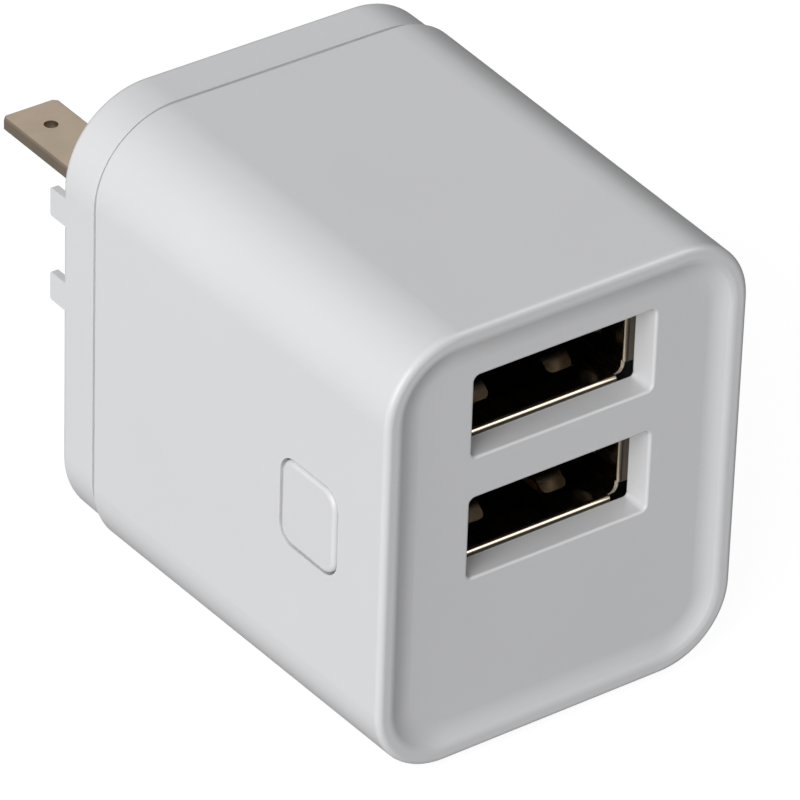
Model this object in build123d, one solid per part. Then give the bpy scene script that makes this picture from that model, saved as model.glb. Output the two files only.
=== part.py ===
from build123d import *
from math import radians, tan
import os

# A cube-shaped two-port USB wall charger with folding mains blades and a side button.
# +X is to the right seen from the ports, +Z is up, and +Y points at the wall.
# The origin is the middle of the plug plate's wall-facing side, so the body lies at -Y.

# ---------------------------------------------------------------- housing
front_width = 28.3
front_height = 32.7
body_length = 31.6
side_draft = 1.07          # degrees that each side leans out towards the wall
corner_radius = 5.4        # of the four long edges, at the front
front_edge_radius = 0.45
shell_wall = 1.6

rim_width = 1.1            # flat rim round the dished front
dish_depth = 0.5
dish_run = 1.0             # sideways length of the dish's slope
dish_foot_radius = 3.0
dish_lip_radius = 0.95

# ---------------------------------------------------------------- plug plate
plate_thickness = 4.0
plate_inset = 0.13         # the plate is this much smaller than the shell all round
plate_corner_extra = 0.5   # and its corners are rounder than the shell's by this
plate_edge_radius = 0.5
seam_chamfer = 0.12
seam_gap = 0.32            # shadow gap between shell and plate
seam_depth = 0.45
spigot_depth = 2.5
spigot_wall = 1.2
spigot_clearance = 0.08

lug_height = 2.15
lug_pitch = 6.5
lug_mid_height = 5.42       # height of the lug pair's middle above the plate's centre
lug_proud = 1.4
lug_thickness = 0.55
lug_corner_radius = 0.2

# ---------------------------------------------------------------- folding blades
blade_width = 4.4
blade_thickness = 0.95
blade_reach = 15.7         # from the plate's face to the tip
blade_pitch = 12.7
blade_pair_height = -0.825  # height of the pair's middle above the plate's centre
blade_hole_radius = 0.5
blade_hole_setback = 2.7
blade_tip_chamfer = 0.3
blade_edge_radius = 0.15

pivot_x = -6.88
pivot_depth = 3.0
rotor_radius = 2.9
rotor_height = 4.4
rotor_clearance = 0.15     # drum to its chamber, each side
trunnion_radius = 1.0
trunnion_length = 1.2
trunnion_clearance = 0.05
slot_clearance = 0.5       # folded blade to its slot, each side
well_wall = 1.0
cap_thickness = 1.0
cap_clearance = 0.08
scoop_radius = 5.0
scoop_depth = 1.7
scoop_setback = 3.0        # scoop's middle, back from the folded tip

contact_window = 3.4
contact_sheet = 0.3
contact_height = 1.5
contact_gap = 0.04
contact_standoff = 0.7     # contact strip behind its bearing cap
contact_ramp_start = 1.5   # sideways from the pivot: foot of the bump, half its flat, free end
contact_touch_half = 0.5
contact_end = 1.1
contact_end_drop = 0.9
leg_width = 1.6
leg_setback = 4.2

# ---------------------------------------------------------------- USB sockets
port_top_drop = 7.15       # front's top edge down to the upper port's middle
port_pitch = 9.25
port_width = 14.25
port_height = 6.15
port_corner_radius = 0.45
port_edge_radius = 0.2
port_draft = 4.0           # degrees on the port's walls
panel_thickness = 1.9

can_inner_width = 12.5
can_inner_height = 5.12
can_sheet = 0.3
can_corner_radius = 0.6
can_length = 10.5
lip_bend_radius = 0.36
lip_flange = 0.5
bottom_lip_length = 11.4
side_lip_length = 3.4

leaf_width = 2.0
leaf_sheet = 0.21          # pressed thinner than the can's sheet
leaf_length = 4.0
leaf_rise = 0.6
leaf_lead = 1.0            # the sloped free end, and how far it dips under the can's floor
leaf_dip = 0.1
leaf_tip_radius = 0.45
leaf_gap = 0.2
leaf_spacing = 6.6
leaf_tip_setback = 2.7     # lip face back to the leaf's free end

tongue_width = 11.1
tongue_thickness = 1.84
tongue_rise = 0.95         # tongue's middle above the port's middle
tongue_setback = 2.4       # lip face back to the tongue's tip
socket_base_depth = 1.6
contact_offsets = (-3.5, -1.0, 1.0, 3.5)
contact_width = 1.0
contact_thickness = 0.25
contact_tail = 2.2

# ---------------------------------------------------------------- side button
button_from_front = 7.85
button_height_above = 0.25
button_depth_size = 5.9    # along the charger's depth
button_height_size = 6.4
button_corner_radius = 1.3
button_clearance = 0.15
button_proud = 0.12
button_edge_radius = 0.35
button_flange_lip = 0.7
button_flange_thickness = 0.7
button_flange_gap = 0.1
button_travel = 0.4
button_face_wall = 1.2
button_post_radius = 1.0
button_post = 1.9
plunger_gap = 0.02
plunger_radius = 1.1
plunger_head = 0.8
switch_size = 4.8
switch_body = 1.5
switch_board_size = 7.0
switch_board_thickness = 0.8
switch_floor = 0.2
switch_lid = 0.2
dome_height = 0.25
dome_gap = 0.05            # stem's end to the dome with the button right in
collar_thickness = 0.25
collar_width = 0.5

# ---------------------------------------------------------------- boards
board_thickness = 1.2
board_side_gap = 0.7
board_lift = 1.8           # shell floor up to the main board
board_front_gap = 0.6
board_back_gap = 0.5
usb_board_width = 18.4
usb_board_leg = 2.3
usb_board_top_gap = 1.2
rail_depth = 1.1
rail_thickness = 0.8
rail_clearance = 0.1
lead_radius = 0.25
sheet_thickness = 0.3
sheet_gap = 0.05

# ---------------------------------------------------------------- transformer and coils
core_length = 12.6
core_width = 11.0
core_depth = 5.6
core_leg = 3.2
core_side_leg = 1.4
core_yoke = 1.7
bobbin_wall = 0.6
bobbin_gap = 0.1
bobbin_end = 0.7
bobbin_flange = 8.2
bobbin_foot = 1.8
transformer_setback = 1.2
transformer_lift = 4.4
winding_margin = 0.4

choke_radius = 2.3
choke_height = 6.0
choke_flange = 0.9
choke_waist = 1.3
coil_gap = 0.05

# ---------------------------------------------------------------- parts on the boards
side_column = 8.9          # middle of the two columns of parts beside the transformer
column_start = 3.4         # first part's middle behind the front panel
column_disc = 7.4
input_capacitor_radius = 3.1
input_capacitor_height = 16.0
input_capacitor_gap = 0.3
output_capacitor_radius = 2.3
output_capacitor_height = 9.0
capacitor_back_gap = 0.6
bridge_length = 4.6
bridge_back_gap = 0.6
fuse_radius = 1.3
fuse_front_gap = 0.2
fuse_length = 2.8
disc_radius = 2.2
disc_thickness = 1.6
optocoupler_size = (4.2, 4.4, 3.0)
bridge_width = 3.8
bridge_height = 2.4
bridge_shift = 0.2
controller_size = (4.9, 3.9, 1.4)
controller_x = -3.2
rectifier_size = (4.6, 3.6, 1.6)
rectifier_x = 3.6
chip_resistor_size = (1.0, 0.6, 0.4)
chip_resistor_places = (-5, -3, -1, 1, 3, 5)
chip_resistor_rise = 2.9   # above the middle between the ports
chip_capacitor_size = (1.2, 0.8, 0.7)
chip_capacitor_places = (-5, -2.5, 2.5, 5)
chip_capacitor_rise = 2.6  # above the upper port's middle
diode_size = (2.6, 1.6, 1.0)
diode_places = (-4, 3)
diode_step = 1.6
power_switch_size = (5.0, 4.0, 1.2)

# ---------------------------------------------------------------- worked-out places
draft_slope = tan(radians(side_draft))
shell_back = -plate_thickness
shell_front = shell_back - body_length
panel_front = shell_front + dish_depth
panel_back = panel_front + panel_thickness
pivot_y = -pivot_depth
blade_length = blade_reach + pivot_depth
upper_blade_z = blade_pair_height + blade_pitch / 2
lower_blade_z = blade_pair_height - blade_pitch / 2
slot_floor = pivot_y - blade_width / 2 - slot_clearance / 2
chamber_floor = pivot_y - rotor_radius - rotor_clearance
well_back = chamber_floor - cap_thickness
contact_plane = well_back - contact_standoff
slot_end_x = pivot_x + blade_length + slot_clearance
slot_half_height = blade_thickness / 2 + slot_clearance
chamber_half_height = rotor_height / 2 + rotor_clearance
chamber_half_width = rotor_radius + rotor_clearance

can_back = panel_back + can_length
usb_board_back = can_back + board_thickness
bay_front = usb_board_back
bay_back = well_back - board_back_gap


def half_width_at(y):
    """Half the shell's outer width at depth y."""
    return front_width / 2 + (y - shell_front) * draft_slope


def half_height_at(y):
    """Half the shell's outer height at depth y."""
    return front_height / 2 + (y - shell_front) * draft_slope


def radius_at(y):
    """Long-edge radius at depth y, since a drafted corner opens like a cone."""
    return corner_radius + (y - shell_front) * draft_slope


floor_z = -(half_height_at(shell_front) - shell_wall)
board_bottom = floor_z + board_lift
board_top = board_bottom + board_thickness
ceiling_z = half_height_at(shell_front) - shell_wall
upper_port_z = front_height / 2 - port_top_drop
lower_port_z = upper_port_z - port_pitch
button_y = shell_front + button_from_front
button_side_x = -half_width_at(button_y)
button_wall_x = button_side_x + shell_wall
button_flange_x = button_wall_x + button_flange_gap
post_end_x = button_flange_x + button_flange_thickness + button_post / 2
plunger_end_x = post_end_x + plunger_gap
switch_face_x = plunger_end_x + plunger_head
switch_back_x = switch_face_x + switch_body
switch_inner_x = switch_back_x - switch_floor
dome_top_x = switch_inner_x - dome_height
board_half_width = half_width_at(shell_front) - shell_wall - board_side_gap
board_front_y = panel_back + board_front_gap
leg_inner_x = usb_board_width / 2 - usb_board_leg
transformer_y = board_front_y + transformer_setback + core_width / 2
transformer_z = board_top + transformer_lift
bobbin_length = core_length - 2 * core_yoke - 2 * bobbin_gap


# ---------------------------------------------------------------- helpers
def facing_front(y):
    """A plane at depth y that looks out of the front: local x is +X, local y is +Z."""
    return Plane(origin=(0, y, 0), x_dir=(1, 0, 0), z_dir=(0, -1, 0))


def outline(width, height, radius):
    return RectangleRounded(width, height, radius)


def block(x_range, y_range, z_range):
    """A box between three pairs of limits."""
    size = [high - low for low, high in (x_range, y_range, z_range)]
    middle = [(high + low) / 2 for low, high in (x_range, y_range, z_range)]
    return Pos(*middle) * Box(*size)


def around(x, y, z, size_x, size_y, size_z):
    """A box centred on a point."""
    return Pos(x, y, z) * Box(size_x, size_y, size_z)


def upright(x, y, z_low, radius, height):
    """A cylinder that stands on z_low."""
    return Pos(x, y, z_low + height / 2) * Cylinder(radius, height)


def along_x(x_low, x_high, y, z, radius):
    return Pos((x_low + x_high) / 2, y, z) * Rot(0, 90, 0) * Cylinder(radius, x_high - x_low)


def along_y(x, y_low, y_high, z, radius):
    return Pos(x, (y_low + y_high) / 2, z) * Rot(90, 0, 0) * Cylinder(radius, y_high - y_low)


def rounded_along(shape, axis, radius):
    """Round the edges of a block that run along an axis."""
    return fillet(shape.edges().filter_by(axis), radius)


parts = {}


def keep(name, shape):
    parts[name] = shape
    return shape


# ---------------------------------------------------------------- housing shell
def shell_block(inset, y_front, y_back):
    """The drafted outer form, shrunk by inset, between two depths."""
    back = facing_front(y_back) * outline(
        2 * (half_width_at(y_back) - inset),
        2 * (half_height_at(y_back) - inset),
        radius_at(y_back) - inset,
    )
    return extrude(back, y_back - y_front, taper=side_draft)


def dish_cutter():
    """The shallow hollow of the front: a sloped tray with a soft foot."""
    inset = rim_width
    mouth = outline(front_width - 2 * inset, front_height - 2 * inset, corner_radius - inset)
    inset = rim_width + dish_run
    floor = outline(front_width - 2 * inset, front_height - 2 * inset, corner_radius - inset)
    tray = loft([facing_front(shell_front) * mouth, facing_front(panel_front) * floor], ruled=True)
    return fillet(tray.edges().group_by(Axis.Y)[-1], dish_foot_radius)


def port_cutter(z):
    """A USB port through the front panel, with drafted walls."""
    face = facing_front(panel_front) * Pos(0, z) * outline(port_width, port_height, port_corner_radius)
    return extrude(face, -panel_thickness, taper=port_draft)


def button_prism(clearance, x_low, x_high):
    """A rounded block along X with the button's outline, grown by a clearance."""
    prism = around(
        (x_low + x_high) / 2,
        button_y,
        button_height_above,
        x_high - x_low,
        button_depth_size + 2 * clearance,
        button_height_size + 2 * clearance,
    )
    return rounded_along(prism, Axis.X, button_corner_radius + clearance)


def board_rails():
    """Two pairs of ribs inside the shell that hold the main board's edges."""
    rails = []
    y_range = (panel_back, bay_back - 1.0)
    for side in (-1, 1):
        inner = side * (half_width_at(shell_front) - shell_wall - rail_depth)
        outer = side * (half_width_at(shell_front) - shell_wall / 2)
        x_range = (min(inner, outer), max(inner, outer))
        low = board_bottom - rail_clearance
        high = board_top + rail_clearance
        rails.append(block(x_range, y_range, (low - rail_thickness, low)))
        rails.append(block(x_range, y_range, (high, high + rail_thickness)))
    return rails


def housing_shell():
    outer = shell_block(0, shell_front, shell_back)
    outer = fillet(outer.edges().group_by(Axis.Y)[0], front_edge_radius)
    outer = chamfer(outer.edges().group_by(Axis.Y)[-1], seam_chamfer)
    shell = outer - shell_block(shell_wall, panel_back, shell_back)
    shell -= dish_cutter()
    rim = [
        edge
        for edge in shell.edges().filter_by_position(Axis.Y, shell_front - 0.01, shell_front + 0.01)
        if abs(edge.center().X) < front_width / 2 - rim_width + 0.05
        and abs(edge.center().Z) < front_height / 2 - rim_width + 0.05
    ]
    shell = fillet(rim, dish_lip_radius)
    for z in (upper_port_z, lower_port_z):
        shell -= port_cutter(z)
    mouths = [
        edge
        for edge in shell.edges().filter_by_position(Axis.Y, panel_front - 0.01, panel_front + 0.01)
        if abs(edge.center().X) < port_width / 2 + 0.1
        and lower_port_z - port_height < edge.center().Z < upper_port_z + port_height * 0.6
    ]
    shell = fillet(mouths, port_edge_radius)
    shell -= button_prism(button_clearance, button_side_x - 1, button_wall_x + 1)
    for rail in board_rails():
        shell += rail
    return shell


# ---------------------------------------------------------------- plug plate and its wells
def plate_outline(extra):
    return outline(
        2 * (half_width_at(shell_back) - plate_inset + extra),
        2 * (half_height_at(shell_back) - plate_inset + extra),
        radius_at(shell_back) - plate_inset + plate_corner_extra + extra,
    )


def spigot():
    """The ring behind the plate that plugs into the shell."""
    inset = shell_wall + spigot_clearance
    ring = shell_block(inset, shell_back - spigot_depth, shell_back)
    return ring - shell_block(inset + spigot_wall, shell_back - spigot_depth, shell_back)


def lugs():
    """Two small stand-off lugs at each side edge of the plate."""
    pieces = []
    edge_x = half_width_at(shell_back) - plate_inset
    for side in (-1, 1):
        for step in (-0.5, 0.5):
            z = lug_mid_height + step * lug_pitch
            x_range = sorted((side * edge_x, side * (edge_x - lug_thickness)))
            lug = block(x_range, (-1, lug_proud), (z - lug_height / 2, z + lug_height / 2))
            tips = lug.edges().filter_by(Axis.X).group_by(Axis.Y)[-1]
            pieces.append(fillet(tips, lug_corner_radius))
    return pieces


def well_walls(z):
    """Walls behind the plate round one blade's slot and its rotor chamber."""
    slot = block(
        (pivot_x + chamber_half_width + well_wall + cap_clearance, slot_end_x + well_wall),
        (slot_floor - well_wall, shell_back),
        (z - slot_half_height - well_wall, z + slot_half_height + well_wall),
    )
    slot &= shell_block(shell_wall + spigot_clearance, slot_floor - well_wall, shell_back)
    half = chamber_half_height + trunnion_length + well_wall
    chamber = block(
        (pivot_x - chamber_half_width - well_wall, pivot_x + chamber_half_width + well_wall + cap_clearance),
        (chamber_floor, shell_back),
        (z - half, z + half),
    )
    return slot + chamber


def well_hollows(z):
    """The slot, the rotor chamber and the trunnions' saddles, as one cutter."""
    slot = block((pivot_x, slot_end_x), (slot_floor, 1), (z - slot_half_height, z + slot_half_height))
    chamber = block(
        (pivot_x - chamber_half_width, pivot_x + chamber_half_width),
        (chamber_floor - 1, 1),
        (z - chamber_half_height, z + chamber_half_height),
    )
    reach = chamber_half_height + trunnion_length
    bore_radius = trunnion_radius + trunnion_clearance
    bore = upright(pivot_x, pivot_y, z - reach, bore_radius, 2 * reach)
    way_in = block(
        (pivot_x - bore_radius, pivot_x + bore_radius),
        (chamber_floor - 1, pivot_y),
        (z - reach, z + reach),
    )
    return slot + chamber + bore + way_in


def finger_scoop(z):
    """A shallow round hollow that lets a fingertip lift the folded blade's end."""
    x = slot_end_x - slot_clearance - scoop_setback
    ball = Pos(x, scoop_radius - scoop_depth, z) * Sphere(scoop_radius)
    return ball


def plug_plate():
    plate = extrude(facing_front(0) * plate_outline(0), plate_thickness - seam_gap)
    plate = fillet(plate.edges().group_by(Axis.Y)[-1], plate_edge_radius)
    plate += extrude(facing_front(shell_back + seam_gap) * plate_outline(-seam_depth), seam_gap)
    plate += spigot()
    for z in (upper_blade_z, lower_blade_z):
        plate += well_walls(z)
    for lug in lugs():
        plate += lug
    for z in (upper_blade_z, lower_blade_z):
        plate -= finger_scoop(z)
        plate -= well_hollows(z)
    return plate


def bearing_cap(z):
    """The cap that closes a rotor chamber from inside and holds its trunnions."""
    half = chamber_half_height + trunnion_length + well_wall
    base = block(
        (pivot_x - chamber_half_width - well_wall, pivot_x + chamber_half_width + well_wall),
        (well_back, chamber_floor),
        (z - half, z + half),
    )
    window = block(
        (pivot_x - contact_window / 2, pivot_x + contact_window / 2),
        (well_back - 1, chamber_floor + 1),
        (z - slot_half_height, z + slot_half_height),
    )
    base -= window
    finger_half = trunnion_radius + trunnion_clearance - cap_clearance
    for side in (-1, 1):
        near = z + side * (chamber_half_height + cap_clearance)
        far = z + side * (chamber_half_height + trunnion_length - cap_clearance)
        base += block(
            (pivot_x - finger_half, pivot_x + finger_half),
            (chamber_floor, pivot_y - trunnion_radius * 0.3),
            (min(near, far), max(near, far)),
        )
    reach = chamber_half_height + trunnion_length
    base -= upright(pivot_x, pivot_y, z - reach, trunnion_radius + trunnion_clearance, 2 * reach)
    return base


# ---------------------------------------------------------------- blades and rotors
def blade_at(z):
    """One flat blade pointing at the wall, with a round root on the pivot."""
    half = blade_width / 2
    flat = block(
        (pivot_x - half, pivot_x + half),
        (pivot_y, blade_reach),
        (z - blade_thickness / 2, z + blade_thickness / 2),
    )
    tips = flat.edges().filter_by(Axis.Z).group_by(Axis.Y)[-1]
    flat = chamfer(tips, blade_tip_chamfer)
    flat = fillet(flat.edges().filter_by(Axis.Z).group_by(Axis.Y)[-1], blade_tip_chamfer * 0.4)
    outer = [edge for edge in flat.edges() if edge.center().Y > pivot_y + 0.1 and is_flat_edge(edge)]
    flat = fillet(outer, blade_edge_radius)
    root = upright(pivot_x, pivot_y, z - blade_thickness / 2, half, blade_thickness)
    hole = upright(
        pivot_x, blade_reach - blade_hole_setback, z - blade_thickness, blade_hole_radius, 2 * blade_thickness
    )
    return flat + root - hole


def is_flat_edge(edge):
    """True for an edge that stays at one height, such as the blade's face outline."""
    box = edge.bounding_box()
    return box.max.Z - box.min.Z < 1e-6


def rotor_at(z, blade):
    """The drum that grips a blade, with a stub axle at each end."""
    drum = upright(pivot_x, pivot_y, z - rotor_height / 2, rotor_radius, rotor_height)
    drum = chamfer(drum.edges().filter_by(GeomType.CIRCLE), 0.2)
    full = rotor_height + 2 * (trunnion_length + rotor_clearance - trunnion_clearance * 2)
    drum += upright(pivot_x, pivot_y, z - full / 2, trunnion_radius, full)
    ring = upright(pivot_x, pivot_y, z - slot_half_height, rotor_radius + 1, 2 * slot_half_height)
    ring -= upright(pivot_x, pivot_y, z - slot_half_height, blade_width / 2, 2 * slot_half_height)
    quarter = block(
        (pivot_x - contact_window / 2, pivot_x + rotor_radius + 1),
        (pivot_y - rotor_radius - 1, pivot_y + contact_window / 2),
        (z - rotor_height, z + rotor_height),
    )
    drum -= ring & quarter
    return drum - blade


def folded(shape):
    """A deployed piece turned a quarter turn about the pivot, into its slot."""
    return Pos(pivot_x, pivot_y, 0) * Rot(0, 0, -90) * Pos(-pivot_x, -pivot_y, 0) * shape


def blade_contact(z, side):
    """A sprung strip: a bump on the blade's root, and a leg down to the main board."""
    touch = pivot_y - blade_width / 2 - contact_gap - contact_sheet / 2
    leg_x = pivot_x + side * leg_setback
    path = Polyline(
        (leg_x, contact_plane),
        (pivot_x + side * contact_ramp_start, contact_plane),
        (pivot_x + side * contact_touch_half, touch),
        (pivot_x - side * contact_touch_half, touch),
        (pivot_x - side * contact_end, touch - contact_end_drop),
    )
    strip = Plane.XY.offset(z - contact_height / 2) * trace(path, line_width=contact_sheet)
    bump = extrude(strip, contact_height)
    leg = block(
        (leg_x - leg_width / 2, leg_x + leg_width / 2),
        (contact_plane - contact_sheet / 2, contact_plane + contact_sheet / 2),
        (board_top, z + contact_height / 2),
    )
    return bump + leg


# ---------------------------------------------------------------- USB sockets
def lip(length):
    """A lip bent out of the can's floor edge: a quarter bend and a short flange."""
    floor = -can_inner_height / 2
    y = panel_back + lip_bend_radius
    z = floor - lip_bend_radius
    bend = along_x(-length / 2, length / 2, y, z, lip_bend_radius)
    bend -= along_x(-length, length, y, z, lip_bend_radius - can_sheet)
    bend &= block((-length, length), (panel_back - 1, y), (z, z + lip_bend_radius + 1))
    flange = block(
        (-length / 2, length / 2), (panel_back, panel_back + can_sheet), (z - lip_flange, z)
    )
    return bend + flange


def leaf_window(floor):
    """The opening that a leaf spring leaves in the can's wall."""
    y = panel_back + leaf_tip_setback - leaf_gap
    window = block(
        (-leaf_width / 2 - leaf_gap, leaf_width / 2 + leaf_gap),
        (y, y + leaf_length + leaf_gap),
        (floor - can_sheet - 0.1, floor + 0.1),
    )
    return window


def leaf(floor):
    """One leaf spring that rises into the can towards the mouth."""
    y = panel_back + leaf_tip_setback
    root = y + leaf_length + leaf_gap
    profile = Polyline(
        (root, floor),
        (y + leaf_lead, floor + leaf_rise),
        (y, floor - leaf_dip),
        (y, floor - leaf_dip - leaf_sheet),
        (y + leaf_lead, floor + leaf_rise - leaf_sheet),
        (root, floor - can_sheet),
        close=True,
    )
    shape = extrude(Plane.YZ.offset(-leaf_width / 2) * make_face(profile), leaf_width)
    plan = extrude(outline(leaf_width, 2 * leaf_length, leaf_tip_radius), 2 * leaf_length)
    return shape & Pos(0, y + leaf_length, floor - leaf_length) * plan


def usb_can(z):
    outer = outline(
        can_inner_width + 2 * can_sheet, can_inner_height + 2 * can_sheet, can_corner_radius + can_sheet
    )
    inner = outline(can_inner_width, can_inner_height, can_corner_radius)
    start = panel_back + lip_bend_radius
    tube = extrude(facing_front(can_back) * (outer - inner), can_back - start)
    floor = -can_inner_height / 2
    for angle in (0, 180):
        spin = Rot(0, angle, 0)
        tube += spin * lip(bottom_lip_length)
        for offset in (-leaf_spacing / 2, leaf_spacing / 2):
            tube -= spin * Pos(offset, 0, 0) * leaf_window(floor)
            tube += spin * Pos(offset, 0, 0) * leaf(floor)
    shift = (can_inner_width - can_inner_height) / 2
    for angle in (90, -90):
        spin = Rot(0, angle, 0)
        tube += spin * Pos(0, 0, -shift) * lip(side_lip_length)
        tube -= spin * Pos(0, 0, -shift) * leaf_window(floor)
        tube += spin * Pos(0, 0, -shift) * leaf(floor)
    return Pos(0, 0, z) * tube


def usb_contacts(z):
    """Four gold strips under the tongue, with tails through the USB board."""
    low = z + tongue_rise - tongue_thickness / 2
    strips = []
    for x in contact_offsets:
        x_range = (x - contact_width / 2, x + contact_width / 2)
        flat = block(
            x_range,
            (panel_back + tongue_setback + 0.8, can_back - socket_base_depth / 2),
            (low, low + contact_thickness),
        )
        flat = chamfer(flat.edges().filter_by(Axis.X).group_by(Axis.Y)[0].group_by(Axis.Z)[0], 0.15)
        tail = block(
            (x - 0.3, x + 0.3),
            (can_back - socket_base_depth / 2, can_back + contact_tail),
            (low, low + contact_thickness * 2),
        )
        strips.append(flat + tail)
    return strips


def usb_tongue(z):
    """The socket's moulded insert: a base that closes the can, and the tongue."""
    clearance = 0.05
    base = block(
        (-can_inner_width / 2 + clearance, can_inner_width / 2 - clearance),
        (can_back - socket_base_depth, can_back),
        (z - can_inner_height / 2 + clearance, z + can_inner_height / 2 - clearance),
    )
    base = rounded_along(base, Axis.Y, can_corner_radius)
    tongue = block(
        (-tongue_width / 2, tongue_width / 2),
        (panel_back + tongue_setback, can_back - socket_base_depth),
        (z + tongue_rise - tongue_thickness / 2, z + tongue_rise + tongue_thickness / 2),
    )
    tongue = chamfer(tongue.edges().group_by(Axis.Y)[0], 0.3)
    insert = base + tongue
    for strip in usb_contacts(z):
        insert -= strip
    return insert


# ---------------------------------------------------------------- button and switch
def button_cap():
    outer = button_side_x - button_proud
    cap = button_prism(0, outer, button_flange_x + button_flange_thickness)
    face = [edge for edge in cap.edges() if edge.center().X < outer + 0.01]
    cap = fillet(face, button_edge_radius)
    flange = around(
        button_flange_x + button_flange_thickness / 2,
        button_y,
        button_height_above,
        button_flange_thickness,
        button_depth_size + 2 * button_flange_lip,
        button_height_size + 2 * button_flange_lip,
    )
    cap += rounded_along(flange, Axis.X, button_corner_radius)
    hollow = around(
        button_flange_x,
        button_y,
        button_height_above,
        2 * (button_flange_x - outer - button_face_wall),
        button_depth_size - 2 * button_face_wall,
        button_height_size - 2 * button_face_wall,
    )
    cap -= hollow & block((outer + button_face_wall, 0), (shell_front, 0), (-front_height, front_height))
    post_start = outer + button_face_wall / 2
    return cap + along_x(post_start, post_end_x, button_y, button_height_above, button_post_radius)


def switch_plunger():
    """The switch's moving stem, with a collar that keeps it in."""
    stem_end = dome_top_x - button_travel - dome_gap
    stem = along_x(plunger_end_x, stem_end, button_y, button_height_above, plunger_radius)
    low = switch_face_x + switch_lid + dome_gap
    high = low + collar_thickness
    collar = along_x(low, high, button_y, button_height_above, plunger_radius + collar_width)
    return stem + collar


def switch_base():
    body = around(
        (switch_face_x + switch_back_x) / 2,
        button_y,
        button_height_above,
        switch_body,
        switch_size,
        switch_size,
    )
    body = fillet(body.edges().filter_by(Axis.X), 0.4)
    bore_radius = plunger_radius + dome_gap
    bore = along_x(switch_face_x - 1, switch_inner_x, button_y, button_height_above, bore_radius)
    room_radius = plunger_radius + collar_width + 2 * dome_gap
    room = along_x(
        switch_face_x + switch_lid, switch_inner_x, button_y, button_height_above, room_radius
    )
    return body - bore - room


def switch_dome():
    """The snap dome at the bottom of the switch."""
    disc = along_x(dome_top_x, switch_inner_x, button_y, button_height_above, plunger_radius + 0.4)
    return fillet(disc.edges().filter_by(GeomType.CIRCLE).group_by(Axis.X)[0], dome_height * 0.7)


def switch_board():
    """A tab of board behind the button, soldered edge-on to the USB board."""
    board = block(
        (switch_back_x, switch_back_x + switch_board_thickness),
        (button_y - switch_board_size / 2, can_back),
        (button_height_above - switch_board_size / 2, button_height_above + switch_board_size / 2),
    )
    return fillet(board.edges().filter_by(Axis.X).group_by(Axis.Y)[0], 0.5)


# ---------------------------------------------------------------- boards
def main_board():
    board = block(
        (-board_half_width, board_half_width), (board_front_y, bay_back), (board_bottom, board_top)
    )
    return fillet(board.edges().filter_by(Axis.Z), 0.8)


def usb_board(contacts):
    """The upright board behind the sockets, on two legs that straddle the transformer."""
    half = usb_board_width / 2
    top = ceiling_z - usb_board_top_gap
    board = block((-half, half), (can_back, usb_board_back), (board_top, top))
    board = fillet(board.edges().filter_by(Axis.Y).group_by(Axis.Z)[-1], 0.8)
    arch_top = lower_port_z - can_inner_height / 2 - can_sheet
    board -= block((-leg_inner_x, leg_inner_x), (can_back - 1, usb_board_back + 1), (board_top - 1, arch_top))
    for strip in contacts:
        board -= strip
    return board


def insulation_sheet():
    """A thin film on the shell's floor, under the mains side of the main board."""
    low = floor_z + sheet_gap
    half = half_width_at(shell_front) - corner_radius
    return block((-half, half), (board_front_y, bay_back), (low, low + sheet_thickness))


# ---------------------------------------------------------------- electronic parts
def electrolytic(x, y, radius, height):
    """A can capacitor that stands on the main board, with its crimped waist."""
    can = upright(x, y, board_top, radius, height)
    can = fillet(can.edges().filter_by(GeomType.CIRCLE), radius * 0.12)
    waist = Pos(x, y, board_top + height * 0.12) * Torus(radius * 1.06, radius * 0.12)
    return can - waist


def transformer_core():
    """Two E-shaped halves that close round the bobbin, seen as one ring with a middle leg."""
    core = around(0, transformer_y, transformer_z, core_length, core_width, core_depth)
    window_width = (core_width - core_leg) / 2 - core_side_leg
    for side in (-1, 1):
        middle = transformer_y + side * (core_leg + window_width) / 2
        core -= around(0, middle, transformer_z, core_length - 2 * core_yoke, window_width, core_depth + 1)
    return core


def transformer_bobbin():
    """The moulded former: a tube round the middle leg, two flanges and two feet."""
    hole = (core_leg + bobbin_gap, core_depth + bobbin_gap)
    tube = (hole[0] + 2 * bobbin_wall, hole[1] + 2 * bobbin_wall)
    room = core_width - 2 * core_side_leg - 2 * bobbin_gap
    foot_top = transformer_z - tube[1] / 2
    bobbin = around(0, transformer_y, transformer_z, bobbin_length, *tube)
    for side in (-1, 1):
        flange_x = side * (bobbin_length - bobbin_end) / 2
        bobbin += around(flange_x, transformer_y, transformer_z, bobbin_end, room, bobbin_flange)
        foot_x = side * (bobbin_length - bobbin_foot) / 2
        bobbin += block(
            (foot_x - bobbin_foot / 2, foot_x + bobbin_foot / 2),
            (transformer_y - room / 2, transformer_y + room / 2),
            (board_top, foot_top),
        )
    return bobbin - around(0, transformer_y, transformer_z, core_length, *hole)


def transformer_winding():
    """The taped winding between the bobbin's flanges."""
    tube = (core_leg + bobbin_gap + 2 * bobbin_wall, core_depth + bobbin_gap + 2 * bobbin_wall)
    length = bobbin_length - 2 * bobbin_end
    width = core_width - 2 * core_side_leg - 2 * bobbin_gap - winding_margin
    coil = around(0, transformer_y, transformer_z, length, width, bobbin_flange - winding_margin)
    coil = fillet(coil.edges().filter_by(Axis.X), 1.0)
    coil -= around(0, transformer_y, transformer_z, length + 1, *tube)
    feet_top = transformer_z - tube[1] / 2
    return coil - block(
        (-length, length),
        (transformer_y - core_width, transformer_y + core_width),
        (board_top, feet_top),
    )


def choke_core(x, y):
    """A ferrite bobbin that stands on the board."""
    core = upright(x, y, board_top, choke_radius, choke_flange)
    core += upright(x, y, board_top, choke_waist, choke_height)
    return core + upright(x, y, board_top + choke_height - choke_flange, choke_radius, choke_flange)


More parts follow.
